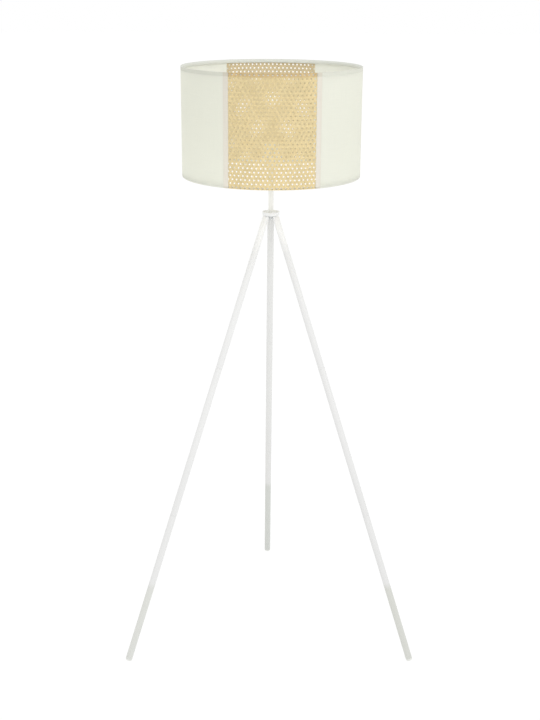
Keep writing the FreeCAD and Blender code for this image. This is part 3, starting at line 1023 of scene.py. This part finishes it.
@dataclass
class EdgeBinding:
    """Cotton tape stuck inside one edge of the drum: from the edge it slants over the hoop."""

    edge: Edge
    tape: float = 0.4 * MM
    gap: float = 0.1 * MM
    turn_in: float = 0.8 * MM
    rounding: tuple[float, float] = (0.15 * MM, 0.2 * MM)
    steps: int = 288

    def section(self) -> list[tuple[float, float]]:
        """Works out the tape's section, as (radius, height), round the hoop that it covers."""
        hoop_low, hoop_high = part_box(self.edge.hoop)
        low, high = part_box(self.edge.node)
        top = self.edge is Edge.TOP
        way = -1 if top else 1
        edge = high.z if top else low.z
        end = low.z if top else high.z
        wire = (hoop_high.z - hoop_low.z) / 2
        hoop = hoop_high.x - wire
        inset = abs(edge - (hoop_high.z + hoop_low.z) / 2)
        outer, under = hoop + wire, hoop - wire - self.gap
        inner = under - self.tape

        def slant(radius: float, cover: float) -> float:
            """The height of a 45 degree slant, so far outside the wire's centre."""
            return edge + way * (inset - (radius - hoop) - math.sqrt(2) * cover)

        thin, thick = wire + self.gap, wire + self.gap + self.tape
        turn_in, (across, up) = self.turn_in, self.rounding
        return [
            (outer, edge), (hoop + inset - math.sqrt(2) * thick, edge),
            (inner + turn_in, slant(inner + turn_in, thick)),
            (inner + 0.2 * turn_in, slant(inner + 0.2 * turn_in, thick) + way * 0.3 * turn_in),
            (inner, slant(inner, thick) + way * turn_in), (inner, end - way * up),
            (inner + across, end), (under, end), (under, slant(under, thin)),
            (outer, slant(outer, thin)),
        ]

    def build(self) -> list[bpy.types.Object]:
        """Spins the tape's section, and marks its places for the rib."""
        section = self.section()
        ring = turned_ring("tape_" + self.edge.value, section, self.steps)
        points = points_of(ring)
        angle = np.arctan2(points[:, 1], points[:, 0])
        radii = np.hypot(points[:, 0], points[:, 1])
        # where there is no cane, the tape's edge reaches out to the cloth
        fabric, cane = PanelSize.of_wall(Wall.FABRIC_RIGHT), PanelSize.of_wall(Wall.CANE_FRONT)
        free = np.cos(2 * angle) > -math.cos(2 * cane.half / cane.outer)
        reach = (free & (radii > section[0][0] - self.gap)) * (fabric.inner - section[0][0])
        points[:, :2] *= (1 + reach / radii)[:, None]
        move_points(ring, points)
        write_map(ring, "Cloth", np.column_stack([angle * section[0][0], points[:, 2]]))
        settle(ring, 60.0)
        return [finished(ring, TAPE, SHADE, self.edge.node)]


class Wall(Enum):
    """The four wall panels of the drum, by the angle that each faces."""

    FABRIC_RIGHT = 0.0
    CANE_BACK = 90.0
    FABRIC_LEFT = 180.0
    CANE_FRONT = 270.0

    @property
    def node(self) -> str:
        """The panel's node in the frame."""
        return self.name.lower()

    @property
    def facing(self) -> float:
        """The angle that the panel faces, in radians."""
        return math.radians(self.value)

    @property
    def cloth(self) -> LaminatedCloth:
        """The cloth of a fabric panel."""
        return LEFT_CLOTH if self is Wall.FABRIC_LEFT else RIGHT_CLOTH


@dataclass
class PanelSize:
    """A curved panel's radii, half width along its outside and heights, read from its node."""

    inner: float
    outer: float
    half: float
    bottom: float
    top: float

    @classmethod
    def of_wall(cls, wall: Wall) -> "PanelSize":
        """Reads a panel's size from the points of its node."""
        points = points_of(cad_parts[wall.node])
        radii = np.hypot(points[:, 0], points[:, 1])
        turn = np.arctan2(points[:, 1], points[:, 0]) - wall.facing
        turn = (turn + math.pi) % (2 * math.pi) - math.pi
        return cls(float(radii.min()), float(radii.max()), float(abs(turn).max() * radii.max()),
                   float(points[:, 2].min()), float(points[:, 2].max()))

    @property
    def middle(self) -> float:
        """The radius halfway through the wall."""
        return (self.inner + self.outer) / 2

    @property
    def flat_half(self) -> float:
        """Half the panel's width when it is unrolled at the middle radius."""
        return self.half * self.middle / self.outer

    @property
    def height(self) -> float:
        """The panel's height."""
        return self.top - self.bottom

    def on_wall(self, flat: np.ndarray, wall: Wall) -> np.ndarray:
        """Lifts flat points to the panel's height and rolls them on the drum.

        Args:
            flat: Rows of along, up and out, centred on the panel.
            wall: The wall that they go to.

        Returns:
            Rows of x, y and z.
        """
        lifted = flat + np.array([0.0, (self.top + self.bottom) / 2, 0.0])
        return wrap_on_drum(lifted, self.middle, wall.facing)


@dataclass
class FabricPanel:
    """A side panel of laminated cloth, lapped over the cane at both its edges."""

    wall: Wall
    columns: int = 120
    rows: int = 36
    slack: float = 0.12 * MM
    ripple: float = 0.5
    ripple_long: float = 165.35 * MM

    def build(self) -> list[bpy.types.Object]:
        """Models the sheet flat, wraps it on the drum and gives it its thickness."""
        size = PanelSize.of_wall(self.wall)
        half, height = size.flat_half, size.height
        deselect_all()
        bpy.ops.mesh.primitive_grid_add(x_subdivisions=self.columns, y_subdivisions=self.rows,
                                        size=2)
        sheet = new_piece("cloth_" + self.wall.node.split("_")[1])
        flat = points_of(sheet)
        flat[:, 0] *= half
        flat[:, 1] *= height / 2
        write_map(sheet, "Cloth", flat[:, :2])
        # the cloth is tight on its hoops and very slightly slack between them
        free = np.cos(flat[:, 1] / height * math.pi)
        ripple = np.cos(flat[:, 0] / self.ripple_long * 2 * math.pi)
        flat[:, 2] = -self.slack * free * (1 + self.ripple * ripple)
        move_points(sheet, size.on_wall(flat, self.wall))
        apply_modifier(sheet, "SOLIDIFY", thickness=size.outer - size.inner, offset=0.0)
        settle(sheet, 50.0)
        mark_inside(sheet)
        cloth = replace(self.wall.cloth, half_width=half, half_height=height / 2)
        finished(sheet, cloth, SHADE, self.wall.node)
        return [sheet]


class Lay(Enum):
    """The three directions of the cane's strands, in degrees from level."""

    LEVEL = 0.0
    FALLING = 120.0
    RISING = 240.0


@dataclass
class CaneWeave:
    """Open three-way cane webbing: pairs of flat strips with six-sided holes between them.

    Each strand goes over the next direction and under the one after it, so all three lays are
    one lay turned by thirds about the middle of a hole.
    """

    pitch: float = 10.8 * MM
    strip: float = 2.55 * MM
    slot_width: float = 0.3 * MM
    thick: float = 0.34 * MM
    rise: float = 0.24 * MM
    crown: float = 0.12 * MM
    steps: int = 8
    across: int = 3

    @property
    def row(self) -> float:
        """The distance between neighbouring strands of one lay."""
        return self.pitch * math.sqrt(3) / 2

    def period(self) -> bpy.types.Object:
        """Models one over-and-under length of a strand, as a pair of crowned strips."""
        deselect_all()
        bpy.ops.mesh.primitive_grid_add(x_subdivisions=self.steps, y_subdivisions=self.across,
                                        size=1)
        bpy.ops.object.mode_set(mode="EDIT")
        bpy.ops.mesh.duplicate_move(TRANSFORM_OT_translate={"value": (0, 2, 0)})
        bpy.ops.object.mode_set(mode="OBJECT")
        ribbon = new_piece("cane_period")
        points = points_of(ribbon)
        second = points[:, 1] > 1
        place = points[:, 1] - 2 * second
        offset = (self.strip + self.slot_width) / 2
        points[:, 0] *= self.pitch
        points[:, 1] = place * self.strip + np.where(second, offset, -offset)
        wave = self.rise * np.cos(2 * math.pi * points[:, 0] / self.pitch)
        points[:, 2] = wave + self.crown * (0.5 - 4 * place ** 2)
        move_points(ribbon, points)
        side = ribbon.data.attributes.new("side", "FLOAT", "POINT")
        side.data.foreach_set("value", (np.abs(place) > 0.4).astype(np.float32))
        return ribbon

    def sheet(self, reach: float) -> bpy.types.Object:
        """Lays out one lay of strands, flat, over a square of twice the reach.

        Args:
            reach: How far the lay has to go from its middle.

        Returns:
            The flat lay, centred on a hole, with its UV map and its dips.
        """
        ribbon = self.period()
        turns = 2 * math.ceil(reach / self.pitch) + 1
        pairs = math.ceil(reach / self.row) + 1
        apply_modifier(ribbon, "ARRAY", count=turns, use_relative_offset=False,
                       use_constant_offset=True, constant_offset_displace=(self.pitch, 0, 0),
                       use_merge_vertices=True, merge_threshold=0.01 * MM)
        points = points_of(ribbon)
        points[:, 0] -= (turns - 1) / 2 * self.pitch
        move_points(ribbon, points)
        twin = copied(ribbon, "cane_twin")
        # a strand over the next lay a quarter pitch along; its neighbour is half a pitch on
        for strip, along, up in ((ribbon, 0.25, 0.5), (twin, -0.25, -0.5)):
            points = points_of(strip)
            points[:, 0] += along * self.pitch
            points[:, 1] += up * self.row
            move_points(strip, points)
            apply_modifier(strip, "ARRAY", count=pairs, use_relative_offset=False,
                           use_constant_offset=True,
                           constant_offset_displace=(0, 2 * self.row, 0))
            points = points_of(strip)
            points[:, 1] -= 2 * self.row * (pairs // 2)
            move_points(strip, points)
        points = points_of(joined(ribbon, twin))
        write_map(ribbon, "Strand", points[:, :2])
        dip = ribbon.data.attributes.new("dip", "FLOAT", "POINT")
        depth = np.clip(0.5 - points[:, 2] / (2 * self.rise), 0, 1)
        dip.data.foreach_set("value", depth.astype(np.float32))
        return ribbon

    def cut(self, lay: bpy.types.Object, half: float, height: float) -> None:
        """Cuts a flat lay to the panel's rectangle."""
        for normal, edge in (((1, 0, 0), half), ((-1, 0, 0), half),
                             ((0, 1, 0), height / 2), ((0, -1, 0), height / 2)):
            only(lay)
            bpy.ops.object.mode_set(mode="EDIT")
            bpy.ops.mesh.select_all(action="SELECT")
            bpy.ops.mesh.bisect(plane_co=Vector(normal) * edge, plane_no=normal,
                                clear_outer=True)
            bpy.ops.object.mode_set(mode="OBJECT")

    def build(self) -> list[bpy.types.Object]:
        """Weaves the front and back panels."""
        size = PanelSize.of_wall(Wall.CANE_FRONT)
        base = self.sheet(math.hypot(size.flat_half, size.height / 2) + self.pitch)
        made = []
        for lay in Lay:
            strands = copied(base, "cane_lay")
            turn = np.array(Matrix.Rotation(math.radians(lay.value), 3, "Z"))
            move_points(strands, points_of(strands) @ turn.T)
            self.cut(strands, size.flat_half, size.height)
            flat = points_of(strands)
            for wall in (Wall.CANE_FRONT, Wall.CANE_BACK):
                piece = copied(strands, f"{wall.node}_{lay.name.lower()}")
                move_points(piece, size.on_wall(flat, wall))
                apply_modifier(piece, "SOLIDIFY", thickness=self.thick, offset=0.0)
                settle(piece, 50.0)
                mark_inside(piece)
                made.append(finished(piece, CANE, SHADE, wall.node))
            bpy.data.objects.remove(strands)
        bpy.data.objects.remove(base)
        return made


@dataclass
class Studio:
    """Plain pale floor, white surroundings, soft lights and the camera."""

    camera_at: tuple[float, float, float] = (-0.0349, -3.1221, 1.7848)
    turn: float = 0.64
    tilt: float = 17.894
    roll: float = 0.337
    lens: float = 61.71
    floor_size: float = 60.0
    floor_paint: Rgba = (0.12, 0.12, 0.12, 1.0)
    floor_glow: float = 0.9
    aim_height: float = 1.2

    def build(self) -> None:
        """Sets up the floor, the light and the camera."""
        self.camera()
        self.floor()
        self.surroundings()
        self.soft_light("key", (1.75, -2.75, 2.9), size=1.8, power=21.0)
        self.soft_light("fill", (-2.6, -2.6, 1.6), size=2.2, power=2.0)
        view = bpy.context.scene.view_settings
        view.view_transform = "Standard"
        view.look = "None"

    def camera(self) -> None:
        """Puts the camera at a standing person's distance, looking slightly down."""
        data = bpy.data.cameras.new("camera")
        data.lens = self.lens
        data.sensor_width = 36.0
        data.clip_end = 200.0
        camera = bpy.data.objects.new("camera", data)
        bpy.context.scene.collection.objects.link(camera)
        aim = (Matrix.Rotation(math.radians(-self.turn), 4, "Z")
               @ Matrix.Rotation(math.radians(90 - self.tilt), 4, "X")
               @ Matrix.Rotation(math.radians(self.roll), 4, "Z"))
        camera.matrix_world = Matrix.Translation(self.camera_at) @ aim
        bpy.context.scene.camera = camera

    def floor(self) -> None:
        """Lays a plain pale floor, which glows a little so that it stays even."""
        deselect_all()
        bpy.ops.mesh.primitive_plane_add(size=self.floor_size)
        floor = new_piece("floor")
        paint = bpy.data.materials.new("plain white floor")
        paint.use_nodes = True
        shader = paint.node_tree.nodes["Principled BSDF"]
        shader.inputs["Base Color"].default_value = self.floor_paint
        shader.inputs["Roughness"].default_value = 0.9
        shader.inputs["Specular IOR Level"].default_value = 0.0
        shader.inputs["Emission Color"].default_value = (1, 1, 1, 1)
        shader.inputs["Emission Strength"].default_value = self.floor_glow
        floor.data.materials.append(paint)

    def surroundings(self) -> None:
        """Makes the world an even white."""
        world = bpy.data.worlds.new("white studio")
        bpy.context.scene.world = world
        world.use_nodes = True
        back = world.node_tree.nodes["Background"]
        back.inputs["Color"].default_value = (1, 1, 1, 1)
        back.inputs["Strength"].default_value = 1.0

    def soft_light(self, name: str, place: tuple[float, float, float], size: float,
                   power: float) -> None:
        """Hangs a square soft light that looks at the shade.

        Args:
            name: The light's name.
            place: Where it hangs.
            size: The side of its square.
            power: Its power in watts.
        """
        data = bpy.data.lights.new(name, "AREA")
        data.size = size
        data.energy = power
        light = bpy.data.objects.new(name, data)
        bpy.context.scene.collection.objects.link(light)
        way = Vector((0, 0, self.aim_height)) - Vector(place)
        light.rotation_euler = way.to_track_quat("-Z", "Y").to_euler()
        light.location = place


def main() -> None:
    """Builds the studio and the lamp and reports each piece."""
    logging.basicConfig(level=logging.INFO, format="%(name)s: %(message)s")
    Studio().build()
    assemblies = [Stand(), Lampholder(), ShadeFrame(), FabricPanel(Wall.FABRIC_LEFT),
                  FabricPanel(Wall.FABRIC_RIGHT), CaneWeave(), EdgeBinding(Edge.TOP),
                  EdgeBinding(Edge.BOTTOM)]
    for assembly in assemblies:
        for piece in assembly.build():
            log.info("%s: %s, %d faces", type(assembly).__name__, piece.name,
                     len(piece.data.polygons))


if __name__ == "__main__":
    main()
